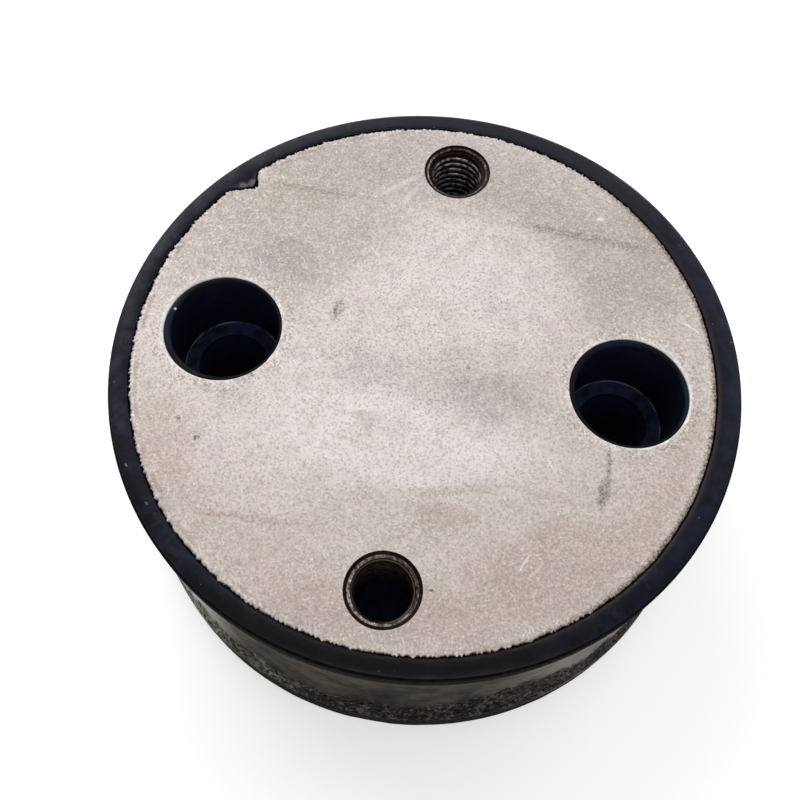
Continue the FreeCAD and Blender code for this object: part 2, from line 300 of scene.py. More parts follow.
def rubber_rows():
    """Rows from the top plate's seat over the rim, of its outer face, the wall and the foot."""
    theta = angles(RIM_SEGMENTS)
    rim = outline(RIM_OUTLINE, theta)
    flange = outline(FLANGE_OUTLINE, theta)
    edge = plate_edge(theta)
    degrees = np.degrees(theta) % 360
    in_notch = np.interp(degrees, NOTCH_ANGLES, NOTCH_DEPTHS) / max(NOTCH_DEPTHS)
    top_rows = [
        circle_points(PLATE_RADIUS, TOP_SEAT, theta),
        circle_points(PLATE_RADIUS, ROUND_BELOW, theta),
        circle_points(edge, WORN_ABOVE, theta),
    ]

    # The rim's top rises out of a narrow groove beside the plate and falls outwards.
    lumps = roughness(circle_points(PLATE_RADIUS, 0, theta), 1.1, 3, 21.0)
    wider = 1 + 1.2 * in_notch
    for out, height in GROOVE_PROFILE:
        uneven = lumps * 0.12 * (1 - out)
        radius = edge + (out + lumps * 0.08) * wider
        top_rows.append(circle_points(radius, TOP + height + uneven, theta))
    crest_start = edge + 1.0 * wider
    shoulder = rim - SHOULDER_INSET
    for share, height in RIM_PROFILE:
        radius = crest_start + (shoulder - crest_start) * share
        points = circle_points(radius, TOP + height, theta)
        dip = in_notch * (1 - share) ** 2 * 0.7
        for x, y in NOTCH_FACETS:
            dip = dip - 0.3 * np.exp(-((points[:, 0] - x) ** 2 + (points[:, 1] - y) ** 2) / 0.4)
        dip = np.maximum(dip, 0)
        points[:, 2] += np.minimum(roughness(points, 5.0, 3, 40.0) * 0.05, 0.02) - dip
        top_rows.append(points)
    for inset, height in SHOULDER_PROFILE:
        top_rows.append(circle_points(rim - inset, TOP + height, theta))
    face_rows = [circle_points(rim - inset, TOP + height, theta) for inset, height in FACE_PROFILE]

    # The wall is drawn in to a waist and flares out to the flange.
    torn_high = max(TORN_HEIGHTS) + 1.0
    upper = np.linspace(RIM_FACE_BOTTOM - 0.4, torn_high + 0.4, UPPER_WALL_ROWS)
    torn = np.arange(torn_high, FLANGE_FACE_TOP, -TORN_STEP)
    torn_edge = np.interp((degrees + 180) % 360 - 180, TORN_ANGLES, TORN_HEIGHTS)
    torn_edge = torn_edge + roughness(circle_points(60.0, 0, theta), 5.0, 3, 60.0) * 1.2
    wall_rows = []
    for height in (*upper, *torn):
        share = (RIM_FACE_BOTTOM - height) / (RIM_FACE_BOTTOM - FLANGE_FACE_TOP)
        radius = rim + (flange - rim) * share - WAIST_DEPTH * 4 * share * (1 - share)
        radius -= UNDERCUT * np.exp(-(RIM_FACE_BOTTOM - height) / UNDERCUT_HEIGHT)
        points = circle_points(radius, height, theta)
        swell = roughness(points, 14.0, 2, 5.0) * 0.12
        if height <= torn_high:
            torn_share = (smooth(TORN_LOW - 0.3, TORN_LOW + 1.2, height)
                          * smooth(-0.6, 1.0, torn_edge - height))
            crumbs = roughness(points * (0.7, 0.7, 1.6), CRUMB_SIZE, 4, 77.0)
            crumbs = np.clip(np.abs(crumbs) * 0.75 - CRUMB_RELIEF, -CRUMB_RELIEF, CRUMB_RELIEF)
            swell = swell + torn_share * crumbs
        points[:, :2] *= (1 + swell / radius)[:, None]
        wall_rows.append(limit_width(points))
    foot_rows = []
    for inset, height in FOOT_PROFILE:
        points = circle_points(flange - inset, height, theta)
        points[:, :2] *= (1 + roughness(points, 6.0, 3, 90.0) * 0.06 / flange)[:, None]
        foot_rows.append(limit_width(points))
    return top_rows, face_rows, wall_rows, foot_rows


def bore_rows(side):
    """Rows from the sleeve's foot over its lip, down to the ledge and through the shank bore."""
    centre = np.array([side * BORE_PLACE, 0.0])
    lean = np.array(LINING_LEAN[side])
    steps = list(LIP_PROFILE)
    for share in np.linspace(0, 1, SLEEVE_ROWS):
        radius = HEAD_RADIUS_TOP + (HEAD_RADIUS_LEDGE - HEAD_RADIUS_TOP) * share
        steps.append((radius, SLEEVE_HIGH - (SLEEVE_HIGH - SLEEVE_LOW) * share, 1.0 - share))
    steps += [*LEDGE_PROFILE, *((SHANK_RADIUS, height, 0.0) for height in SHANK_HEIGHTS)]
    rows = []
    for radius, height, share in steps:
        points = round_hole(centre + lean * share, radius, height, BORE_SEGMENTS)
        if TOP_SEAT + 0.1 < height < TOP - 0.1 and radius < LINED_RADIUS:
            ripple = roughness(points, 3.0, 3, 12.0) * 0.035
            points[:, :2] += (points[:, :2] - centre) * (ripple / radius)[:, None]
        rows.append(points)
    return rows


def make_rubber(materials):
    """One moulding: groove, rim, wall and foot, and the lining of the two large holes."""
    rim_kind, bore_kind, wall_kind, groove_kind, dull_kind = 0, 1, 2, 3, 4
    shell = Shell()
    top_rows, face_rows, wall_rows, foot_rows = rubber_rows()
    _, bank = shell.rings(top_rows[:GROOVE_ROWS], kind=groove_kind)
    _, lip = shell.rings(top_rows[GROOVE_ROWS:], kind=rim_kind, after=bank)
    _, under_rim = shell.rings(face_rows, kind=dull_kind, after=lip)
    _, wall_end = shell.rings(wall_rows, kind=wall_kind, after=under_rim)
    _, foot = shell.rings(foot_rows, kind=dull_kind, after=wall_end)
    seat = np.arange(RIM_SEGMENTS)
    theta = angles(RIM_SEGMENTS)
    _, base_seat = shell.rings(
        [circle_points(PLATE_RADIUS, 0, theta), circle_points(PLATE_RADIUS, BASE_TOP, theta)],
        kind=dull_kind, after=foot)
    feet, ends = [], []
    for side in (-1, 1):
        first, last = shell.rings(bore_rows(side), kind=bore_kind)
        feet.append(first)
        ends.append(last)
    shell.fill(seat, feet, kind=bore_kind, up=True)
    shell.fill(base_seat, ends, kind=bore_kind, up=False)
    return shell.build("rubber_moulding", materials)


def thread_radius(theta, height):
    """Radius of a tapped hole: flanks at 60 degrees, flat crests and roots, and the mouth."""
    phase = (height / PITCH - theta / (2 * math.pi)) % 1.0
    from_root = np.abs(phase - 0.5) * PITCH
    root_flat, slope = PITCH / 16, math.tan(math.radians(60))
    radius = MAJOR_RADIUS - np.maximum(from_root - root_flat, 0) * slope
    radius = np.maximum(radius, MINOR_RADIUS)
    mouth = MOUTH_RADIUS - MOUTH_SLOPE * (STEEL_FACE - height)
    foot = MINOR_RADIUS + 0.5 - (height - TOP_SEAT)
    return np.maximum(np.maximum(radius, mouth), foot)


def thread_rows(centre, turn):
    theta = angles(THREAD_SEGMENTS)
    rows = [round_hole(centre, MOUTH_RADIUS + 0.06, STEEL_FACE, THREAD_SEGMENTS),
            round_hole(centre, MOUTH_RADIUS, STEEL_FACE - 0.02, THREAD_SEGMENTS)]
    heights = np.concatenate([
        np.linspace(STEEL_FACE - 0.06, STEEL_FACE - MOUTH_DEPTH, 9),
        np.arange(STEEL_FACE - MOUTH_DEPTH - 0.05, TOP_SEAT, -THREAD_STEP),
        [TOP_SEAT],
    ])
    for height in heights:
        radius = thread_radius(theta + turn, np.full_like(theta, height))
        points = circle_points(radius, height, theta)
        chips = roughness(points, 0.8, 3, 33.0 + turn) * 0.035
        points[:, :2] *= (1 + chips / radius)[:, None]
        points[:, 0] += centre[0]
        points[:, 1] += centre[1]
        rows.append(points)
    return rows


def make_top_plate(materials):
    """Blasted disc: granular worn edge, two large holes with a broken edge, two tapped holes."""
    face, machined, tapped = 0, 1, 2
    shell = Shell()
    theta = angles(EDGE_SEGMENTS)
    edge = plate_edge(theta)
    inner = np.minimum(FACE_RADIUS, edge - 1.3)
    rows = [circle_points(inner, STEEL_FACE, theta)]
    for share in (0.35, 0.7, 1.0):
        rows.append(circle_points(inner + (edge - 1.0 - inner) * share, STEEL_FACE, theta))
    grain = edge_grain(theta)
    for out, drop in WORN_PROFILE:
        worn = float(smooth(-0.9, 0.1, out))
        points = circle_points(edge + out + grain * worn, STEEL_FACE - drop, theta)
        points[:, 2] += np.minimum(roughness(points, 0.6, 3, 50.0) * 0.14 * worn, 0.05)
        rows.append(points)
    rows += [circle_points(edge + 0.1, WORN_ABOVE, theta),
             circle_points(PLATE_RADIUS, ROUND_BELOW, theta),
             circle_points(PLATE_RADIUS, TOP_SEAT + 0.2, theta),
             circle_points(PLATE_RADIUS - 0.2, TOP_SEAT, theta)]
    band_start, foot = shell.rings(rows, kind=face)
    starts, ends = [], []
    for side in (-1, 1):
        # The edge is broken more on the side that faces away from the middle.
        around = angles(BORE_SEGMENTS)
        widest, width = BROKEN_EDGES[side]
        broken = LEAST_BROKEN + width * smooth(-0.4, 0.8, np.cos(around - widest))
        if side < 0:
            from_nick = (np.degrees(around) - NICK_ANGLE) / NICK_WIDTH
            broken = broken + NICK_DEPTH * np.exp(-from_nick ** 2)
        chips = roughness(circle_points(LINED_RADIUS, 3 * side, around), 0.8, 2, 5.0) * 0.08
        broken = np.maximum(broken + chips, 0.03)
        rows = []
        for out, share, drop in BROKEN_PROFILE:
            radius = LINED_RADIUS + out + share * broken
            row = circle_points(radius, STEEL_FACE - drop * broken, around)
            rows.append(row[::-1] + (side * BORE_PLACE, 0, 0))
        centre = (side * BORE_PLACE, 0.0)
        rows.append(round_hole(centre, LINED_RADIUS, TOP_SEAT, BORE_SEGMENTS)[::-1])
        first, last = shell.rings(rows, kind=machined)
        starts.append(first)
        ends.append(last)
    for side, turn in THREAD_TURNS.items():
        first, last = shell.rings(
            [row[::-1] for row in thread_rows((0.0, side * THREAD_PLACE), turn)], kind=tapped)
        starts.append(first)
        ends.append(last)
    shell.fill(band_start, starts, kind=face, up=True)
    shell.fill(foot, ends, kind=face, up=False)
    return shell.build("top_plate_steel", materials)


def make_base_plate(materials):
    """Plain disc with broken edges and a clearance hole under each large hole."""
    shell = Shell()
    theta = angles(BASE_SEGMENTS)
    end_radius = PLATE_RADIUS - BASE_CHAMFER
    steps = ((end_radius, BASE_TOP), (PLATE_RADIUS, BASE_TOP - BASE_CHAMFER),
             (PLATE_RADIUS, BASE_CHAMFER), (end_radius, 0.0))
    top, bottom = shell.rings([circle_points(r, z, theta) for r, z in steps])
    starts, ends = [], []
    for side in (-1, 1):
        centre = (side * BORE_PLACE, 0.0)
        steps = ((SHANK_RADIUS + BASE_HOLE_CHAMFER, BASE_TOP),
                 (SHANK_RADIUS, BASE_TOP - BASE_HOLE_CHAMFER), (SHANK_RADIUS, 0.6), (7.6, 0.0))
        first, last = shell.rings(
            [round_hole(centre, r, z, BORE_SEGMENTS)[::-1] for r, z in steps])
        starts.append(first)
        ends.append(last)
    shell.fill(top, starts, up=True)
    shell.fill(bottom, ends, up=False)
    return shell.build("base_plate_steel", materials)


class Surface:
    """A material's node tree with the part's millimetres as its coordinates."""

    def __init__(self, name):
        self.material = bpy.data.materials.new(name)
        self.material.use_nodes = True
        self.tree = self.material.node_tree
        self.shader = self.tree.nodes["Principled BSDF"]
        place = self.tree.nodes.new("ShaderNodeTexCoord")
        self.mm = self.node("ShaderNodeMapping", {"Vector": place.outputs["Object"],
                                                  "Scale": (1 / MM,) * 3})

    def node(self, kind, inputs, output=0, **settings):
        item = self.tree.nodes.new(kind)
        for key, value in settings.items():
            setattr(item, key, value)
        for key, value in inputs.items():
            self.feed(item.inputs[key], value)
        return item.outputs[output]

    def feed(self, socket, value):
        if isinstance(value, bpy.types.NodeSocket):
            self.tree.links.new(value, socket)
        else:
            socket.default_value = value

    def noise(self, size, detail=3.0, rough=0.5, distortion=0.0, vector=None):
        """Noise with lumps of a size in millimetres."""
        return self.node("ShaderNodeTexNoise", {
            "Vector": self.mm if vector is None else vector, "Scale": 1 / size,
            "Detail": detail, "Roughness": rough, "Distortion": distortion})

    def turned(self, angle, unit=(1.0, 1.0, 1.0), shift=(0.0, 0.0, 0.0)):
        """The place in turned and shifted axes, in units of so many millimetres each."""
        return self.node("ShaderNodeMapping", {
            "Vector": self.mm, "Rotation": (0, 0, math.radians(angle)), "Scale": unit,
            "Location": shift}, vector_type="TEXTURE")

    def warped(self, size, amount):
        """The place in millimetres, pushed about by noise."""
        push = self.node("ShaderNodeTexNoise", {"Vector": self.mm, "Scale": 1 / size}, 1)
        push = self.node("ShaderNodeVectorMath", {0: push, 1: (0.5, 0.5, 0.5)},
                         operation="SUBTRACT")
        return self.node("ShaderNodeVectorMath", {0: push, 1: (amount,) * 3, 2: self.mm},
                         operation="MULTIPLY_ADD")

    def spot(self, place, size, angle=0.0, vector=None):
        """1 over the middle of an oval, which is level with the top, and 0 at its outline."""
        vector = self.node("ShaderNodeMapping", {
            "Vector": self.mm if vector is None else vector, "Location": (*place, TOP),
            "Rotation": (0, 0, math.radians(angle)), "Scale": (*size, 9.0)},
            vector_type="TEXTURE")
        oval = self.node("ShaderNodeTexGradient", {"Vector": vector}, 1,
                         gradient_type="SPHERICAL")
        return self.curve(oval, 0.0, 0.6)

    def curve(self, value, low, high, bottom=0.0, top=1.0):
        """Scale a value from low..high to bottom..top, smoothly and clamped."""
        return self.node("ShaderNodeMapRange", {
            0: value, 1: low, 2: high, 3: bottom, 4: top},
            interpolation_type="SMOOTHSTEP")

    def table(self, value, places, results, top):
        """A value from 0 to 1 looked up between points; results are shares of top."""
        item = self.tree.nodes.new("ShaderNodeFloatCurve")
        self.feed(item.inputs["Value"], value)
        points = item.mapping.curves[0].points
        while len(points) < len(places):
            points.new(0.5, 0.5)
        for point, place, result in zip(points, places, results):
            point.location = (place, result / top)
            point.handle_type = "VECTOR"
        item.mapping.update()
        return self.times(item.outputs[0], top)

    def math(self, operation, first, second=0.0, clamp=False):
        return self.node("ShaderNodeMath", {0: first, 1: second}, operation=operation,
                         use_clamp=clamp)

    def times(self, first, second):
        return self.math("MULTIPLY", first, second)

    def mix(self, share, first, second):
        return self.node("ShaderNodeMix", {0: share, 6: first, 7: second}, 2, data_type="RGBA",
                         clamp_factor=True)

    def split(self):
        """The X, Y and Z of the place, in millimetres."""
        item = self.tree.nodes.new("ShaderNodeSeparateXYZ")
        self.tree.links.new(self.mm, item.inputs[0])
        return item.outputs

    def radius(self, centre=(0.0, 0.0)):
        """Distance from an upright axis, in millimetres."""
        x, y, _ = self.split()
        away_x = self.math("SUBTRACT", x, centre[0])
        away_y = self.math("SUBTRACT", y, centre[1])
        squares = self.math("ADD", self.times(away_x, away_x), self.times(away_y, away_y))
        return self.math("SQRT", squares)

    def bump(self, height, depth, strength=1.0, normal=None):
        """Bump of a depth in millimetres."""
        inputs = {"Height": height, "Distance": depth * MM, "Strength": strength}
        if normal is not None:
            inputs["Normal"] = normal
        return self.node("ShaderNodeBump", inputs)

    def set(self, **values):
        for key, value in values.items():
            self.feed(self.shader.inputs[key.replace("_", " ")], value)


# Stains on the plate's face: place, half its length and width, its turn, colour and share.
PALE, SLATE, BROWN, OLIVE, SOOT, WHITE, RUST, DULL = (
    srgb(244, 234, 233), srgb(166, 157, 158), srgb(188, 168, 156), srgb(176, 167, 150),
    srgb(74, 70, 66), srgb(252, 250, 247), srgb(150, 122, 104),
    srgb(184, 174, 169))
STAINS = (
    ((-2.0, -17.0), (38.0, 14.0), 4.0, PALE, 0.9), ((6.0, 18.0), (30.0, 20.0), -15.0, PALE, 0.65),
    ((-12.0, 0.0), (20.0, 26.0), 0.0, PALE, 0.45),
    ((-31.5, 18.5), (10.0, 6.5), -8.0, SLATE, 0.8), ((14.0, -6.0), (14.0, 8.0), 8.0, SLATE, 0.42),
    ((-9.0, -4.0), (20.0, 6.5), -6.0, SLATE, 0.18), ((18.0, 38.5), (15.0, 6.0), -8.0, SLATE, 0.45),
    ((-8.0, 46.0), (46.0, 11.5), 0.0, SLATE, 0.5),
    ((36.0, 20.0), (11.0, 13.0), -40.0, SLATE, 0.35),
    ((-34.0, 27.0), (36.0, 27.0), 35.0, DULL, 0.72),
    ((43.0, 35.0), (14.0, 8.0), -42.0, OLIVE, 0.85),
    ((6.0, 42.0), (5.0, 4.0), 0.0, OLIVE, 0.4), ((-34.0, 34.0), (15.0, 9.0), 35.0, OLIVE, 0.35),
    ((46.0, -14.0), (9.0, 26.0), -10.0, BROWN, 0.5),
    ((28.0, -38.0), (24.0, 12.0), 26.0, BROWN, 0.6),
    ((8.0, -30.5), (9.0, 4.0), 14.0, BROWN, 0.5), ((-30.0, -37.0), (28.0, 12.0), -30.0, BROWN, 0.3),
    ((-45.0, -24.0), (8.0, 14.0), 20.0, BROWN, 0.4), ((0.0, -50.0), (30.0, 8.0), 0.0, BROWN, 0.6),
    ((-8.5, -15.0), (3.5, 2.6), 0.0, BROWN, 0.5),
    ((-43.0, -8.0), (14.0, 24.0), 10.0, PALE, 0.22),
    ((-28.0, -28.0), (17.0, 13.0), -30.0, PALE, 0.35),
    ((-23.0, -8.0), (13.0, 16.0), 0.0, PALE, 0.3),
    ((43.0, -8.0), (9.0, 20.0), 0.0, PALE, 0.2), ((36.0, 31.0), (24.0, 18.0), -40.0, DULL, 0.7),
)
# Painted light on the sleeves' lips, where the light falls on them, and one white speck: place,
# half its length and width, and colour.
LIT_LIP_TONES = (((-51.0, -1.0), (5.0, 10.0), srgb(20, 29, 42)),
             ((-45.0, -9.8), (7.0, 3.6), srgb(28, 25, 23)),
             ((50.6, 0.0), (2.4, 9.0), srgb(20, 28, 42)),
             ((36.0, 10.5), (7.0, 3.0), srgb(14, 20, 36)),
             ((-49.8, 2.45), (0.35, 0.35), srgb(210, 214, 224)))
# Sharper marks, given the same way: smudges, a streak, dots, two dark lines, pale scratches.
MARKS = (
    ((-18.3, 7.6), (1.6, 3.4), -8.0, SOOT, 0.5), ((-18.8, 7.4), (0.5, 2.2), 4.0, SOOT, 0.6),
    ((36.9, -15.6), (0.7, 4.8), 3.0, SOOT, 0.65), ((36.4, -21.2), (1.5, 4.2), -6.0, SOOT, 0.75),
    ((8.6, -0.3), (0.55, 0.55), 0.0, SOOT, 1.0), ((-43.0, -20.1), (0.7, 0.6), 0.0, SOOT, 0.8),
    ((-38.7, -23.4), (0.7, 0.7), 0.0, SOOT, 0.8), ((-28.0, 35.4), (14.0, 0.9), -1.0, SOOT, 0.3),
    ((-4.0, 34.8), (14.0, 0.8), -1.0, SOOT, 0.16), ((27.0, 33.6), (22.0, 1.5), -3.2, SOOT, 0.36),
    ((31.0, 38.7), (1.0, 0.7), 20.0, WHITE, 1.0), ((-11.3, 39.8), (6.6, 0.9), 40.0, WHITE, 0.4),
    ((-8.8, 37.6), (5.0, 0.7), 62.0, WHITE, 0.3), ((9.0, -25.4), (12.0, 1.3), 14.0, OLIVE, 0.6),
    ((28.0, -23.6), (10.0, 1.2), -5.0, OLIVE, 0.5), ((-26.0, -36.8), (14.0, 1.0), 2.0, RUST, 0.45),
    ((-31.9, -9.2), (0.9, 0.5), 40.0, SOOT, 0.9), ((8.1, -44.2), (0.45, 0.4), 0.0, SOOT, 0.9),
    ((50.6, 16.2), (2.9, 0.3), -32.0, WHITE, 0.9),
    ((26.3, -17.3), (2.8, 0.28), -58.0, WHITE, 0.8), ((23.6, -36.6), (3.0, 0.3), 64.0, WHITE, 0.8),
    ((25.6, -37.8), (2.4, 0.25), 52.0, WHITE, 0.6), ((-13.5, 22.5), (2.2, 0.28), -48.0, WHITE, 0.7),
)


def whisker(s, size, seed, width):
    """Thin curved lines, broken up, as grit and chips leave them."""
    field = s.noise(size, 1.0, 0.5, 0.6, s.turned(0.0, shift=(seed, -seed, 0.0)))
    off_line = s.math("ABSOLUTE", s.math("SUBTRACT", field, 0.5))
    broken = s.curve(s.noise(size * 0.7, 2.0, 0.5, 0.0, s.turned(0.0, shift=(0.0, seed, 0.0))),
                     0.6, 0.68)
    return s.times(s.curve(off_line, 0.0, width, 1.0, 0.0), broken)


def dashes(s, angle, length, seed):
    """Short straight scratches in one direction."""
    place = s.turned(angle, (length, 0.3, 1.0), (seed, 0.0, 0.0))
    return s.curve(s.noise(1.0, 0.0, 0.5, 0.0, place), 0.77, 0.83)


def blasted_steel():
    """Grit-blasted plate face, stained in soft patches, with fine scratches and bright grain."""
    s = Surface("blasted_steel")
    wavy = s.warped(8.0, 9.0)
    ragged = s.warped(0.9, 1.0)
    patch = s.noise(5.0, 4.0, 0.6, 0.4)
    colour = s.mix(s.curve(s.noise(6.0, 1.0), 0.38, 0.62), srgb(219, 206, 201), srgb(213, 203, 195))
    uneven = s.curve(patch, 0.32, 0.62, 0.65, 1.0)
    for place, size, angle, tone, share in STAINS:
        oval = s.times(s.spot(place, size, angle, wavy), uneven)
        colour = s.mix(s.times(oval, share), colour, tone)

    grain = s.noise(0.42, 2.0, 0.6)
    # The blasting left clouds of slightly different hue.
    cloud = s.noise(8.0, 3.0, 0.6, 0.0, ragged)
    colour = s.mix(s.curve(cloud, 0.48, 0.36, 0.0, 0.24), colour, srgb(184, 178, 160))
    colour = s.mix(s.curve(cloud, 0.52, 0.64, 0.0, 0.26), colour, srgb(192, 179, 186))
    colour = s.mix(s.curve(grain, 0.32, 0.52, 0.45, 0.0), colour, srgb(146, 135, 129))
    colour = s.mix(s.curve(grain, 0.52, 0.72, 0.0, 0.45), colour, srgb(240, 234, 229))
    busy = s.spot((2.0, 4.0), (34.0, 26.0), 20.0, wavy)
    pits = s.times(s.curve(s.noise(0.5, 1.0, 0.4), 0.4, 0.3),
                   s.math("ADD", s.times(busy, s.curve(patch, 0.4, 0.6)), 0.18))
    colour = s.mix(s.times(pits, 0.48), colour, srgb(110, 102, 100))
    # Bright flecks lie thicker round the large holes.
    near_bore = s.math("MINIMUM", s.radius((BORE_PLACE, 0.0)), s.radius((-BORE_PLACE, 0.0)))
    crowded = s.math("MAXIMUM", s.curve(near_bore, 15.5, 11.8, 0.0, 0.1),
                     s.curve(s.radius(), 53.6, 55.8, 0.0, 0.1))
    flecks = s.noise(0.62, 1.0, 0.4, 0.0, s.turned(0.0, shift=(2.0, 4.0, 0.0)))
    flecks = s.curve(s.math("ADD", flecks, crowded), 0.67, 0.76)
    lines = s.times(whisker(s, 2.6, 11.0, 0.035), 0.6)
    for angle, length, seed in ((20.0, 2.2, 3.0), (66.0, 1.6, 8.0), (118.0, 2.6, 14.0),
                                (160.0, 1.8, 21.0)):
        lines = s.math("MAXIMUM", lines, dashes(s, angle, length, seed))
    lines = s.math("MAXIMUM", lines, flecks)
    colour = s.mix(s.times(lines, 0.5), colour, WHITE)
    # A rubbed, pale ring lies round each large hole, with dull grains outside it.
    rubbed = s.times(s.curve(near_bore, 12.7, 11.8), s.curve(patch, 0.4, 0.6, 0.0, 0.6))
    colour = s.mix(s.times(rubbed, s.curve(grain, 0.45, 0.55, 0.2, 1.0)), colour, WHITE)
    dull = s.times(s.curve(near_bore, 14.4, 13.4), s.curve(near_bore, 11.9, 12.6))
    dull = s.times(dull, s.curve(patch, 0.54, 0.44))
    colour = s.mix(s.times(dull, s.curve(grain, 0.5, 0.38, 0.0, 0.45)), colour,
                   srgb(134, 124, 112))
    for place, size, angle, tone, share in MARKS:
        mark = s.times(s.spot(place, size, angle, ragged),
                       s.curve(grain, 0.36, 0.56, share, share * 0.45))
        colour = s.mix(mark, colour, tone)
    # Painted shadow: a darker line just inside the plate's edge, on the left.
    ridge_shadow = s.times(s.curve(s.radius(), 54.2, 54.9), s.curve(s.radius(), 55.5, 55.1))
    ridge_shadow = s.times(ridge_shadow, s.curve(patch, 0.45, 0.6, 0.0, 0.45))
    x, _, _ = s.split()
    ridge_shadow = s.times(ridge_shadow, s.curve(x, 5.0, -25.0))
    colour = s.mix(ridge_shadow, colour, srgb(140, 126, 108))
    worn = s.times(s.curve(s.radius(), 55.0, 55.7), s.curve(x, 10.0, -10.0, 0.0, 0.25))
    colour = s.mix(s.times(worn, s.curve(grain, 0.4, 0.6)), colour, WHITE)
    rusty = s.curve(x, 15.0, 45.0, 0.15, 1.0)
    edge = s.times(s.curve(s.radius(), 54.8, 55.9), s.curve(grain, 0.35, 0.6, 1.0, 0.4))
    colour = s.mix(s.times(edge, rusty), colour, srgb(84, 64, 48))
    bump = s.bump(s.noise(0.5, 3.0, 0.6), 0.05, 0.7)
    bump = s.bump(patch, 0.3, 0.2, bump)
    s.set(Base_Color=colour, Metallic=0.35, Normal=bump,
          Roughness=s.curve(grain, 0.3, 0.7, 0.66, 0.5))
    return s.material


def machined_steel_painted_glint():
    """Turned steel of the broken hole edges, coloured near white as a painted glint of the light on
    them.
    """
    s = Surface("machined_steel_painted_glint")
    tone = s.noise(1.6, 3.0)
    chipped = s.curve(s.noise(0.7, 2.0), 0.45, 0.6)
    colour = s.mix(s.curve(tone, 0.35, 0.65), srgb(236, 232, 228), srgb(252, 251, 249))
    colour = s.mix(s.times(chipped, 0.2), colour, srgb(150, 138, 130))
    grooves = s.noise(0.4, 2.0, 0.5, 0.0, s.turned(0.0, (6.0, 6.0, 0.2)))
    s.set(Base_Color=colour, Metallic=0.1, Normal=s.bump(grooves, 0.03, 0.5),
          Roughness=s.curve(tone, 0.3, 0.7, 0.35, 0.5))
    return s.material


def tapped_steel():
    """Cut thread, painted dark between its crests as shade down the hole, with painted highlights
    on its crests and on rings round its mouth.
    """
    s = Surface("tapped_steel")
    speck = s.noise(0.6, 4.0, 0.6)
    from_axis = s.math("MINIMUM", s.radius((0.0, THREAD_PLACE)), s.radius((0.0, -THREAD_PLACE)))
    x, y, z = s.split()
    # The hole at -Y is darker. Its ring is narrower, with a second one inside it.
    toward_far_hole = s.curve(y, -10.0, 10.0)
    # Painted highlight: a bright ring round each mouth, and a second, thinner one.
    ring_out = s.curve(y, -10.0, 10.0, 6.3, 6.4)
    ring_in = s.curve(y, -10.0, 10.0, 5.78, 6.06)
    ring = s.times(s.curve(s.math("SUBTRACT", from_axis, ring_out), 0.08, -0.08),
                   s.curve(s.math("SUBTRACT", from_axis, ring_in), -0.08, 0.08))
    second = s.times(s.curve(from_axis, 5.62, 5.54), s.curve(from_axis, 5.36, 5.42))
    second = s.times(second, s.curve(z, 47.0, 47.3))
    second = s.times(second, s.curve(toward_far_hole, 0.0, 1.0, 1.0, 0.15))
    # Painted highlight on the crests, tinted by height.
    crest_highlight = s.times(s.curve(from_axis, 5.32, 5.17), s.curve(z, 47.4, 47.1))
    worn = s.curve(s.noise(1.0, 3.0), 0.42, 0.58, 0.15, 1.0)
    crest_highlight = s.times(crest_highlight, s.curve(toward_far_hole, 0.0, 1.0, 0.04, 1.0))
    tinge = s.mix(s.curve(z, 41.0, 45.5), srgb(204, 206, 222), srgb(216, 194, 204))
    # Painted shade: dark between the crests.
    dark = s.mix(s.curve(speck, 0.45, 0.7), srgb(11, 5, 4), srgb(44, 25, 19))
    bright = s.mix(s.curve(speck, 0.35, 0.65), srgb(76, 66, 60), srgb(190, 177, 167))
    bright = s.mix(s.curve(speck, 0.58, 0.68, 0.0, 0.9), bright, srgb(250, 248, 246))
    # Painted highlight: the rings are brightest at the lower left.
    slant = s.math("ADD", s.math("ADD", x, y),
                   s.curve(y, -10.0, 10.0, THREAD_PLACE, -THREAD_PLACE))
    least = s.curve(toward_far_hole, 0.0, 1.0, 0.5, 0.3)
    ring = s.times(ring, s.curve(slant, 5.0, -6.0, least, 1.0))
    ring = s.times(ring, s.curve(s.noise(2.2, 3.0), 0.3, 0.6, 0.45, 1.0))
    colour = s.mix(s.times(ring, s.curve(toward_far_hole, 0.0, 1.0, 1.0, 0.95)), dark, bright)
    colour = s.mix(s.times(second, s.curve(x, -3.0, 3.0, 0.22, 0.45)), colour,
                   srgb(132, 109, 97))
    colour = s.mix(s.times(crest_highlight, worn), colour, tinge)
    s.set(Specular_IOR_Level=0.15)
    s.set(Base_Color=colour, Metallic=0.6, Normal=s.bump(speck, 0.04, 0.5),
          Roughness=s.curve(speck, 0.3, 0.7, 0.35, 0.55))
    return s.material


def plain_steel():
    """Sawn and lightly rusted steel of the base plate, with painted shade in its holes."""
    s = Surface("base_steel")
    tone = s.noise(12.0, 4.0, 0.6)
    colour = s.mix(s.curve(tone, 0.35, 0.65), srgb(160, 150, 144), srgb(198, 188, 180))
    colour = s.mix(s.curve(s.noise(3.0, 5.0, 0.65), 0.58, 0.75, 0.0, 0.7), colour,
                   srgb(120, 92, 70))
    from_hole = s.math("MINIMUM", s.radius((BORE_PLACE, 0.0)), s.radius((-BORE_PLACE, 0.0)))
    # Painted shade: the walls of the holes are near black.
    colour = s.mix(s.curve(from_hole, 7.3, 7.05), colour, srgb(20, 17, 20))
    s.set(Base_Color=colour, Metallic=0.75, Normal=s.bump(s.noise(0.5, 4.0, 0.6), 0.05, 0.7),
          Roughness=s.curve(tone, 0.3, 0.7, 0.6, 0.45))
    return s.material


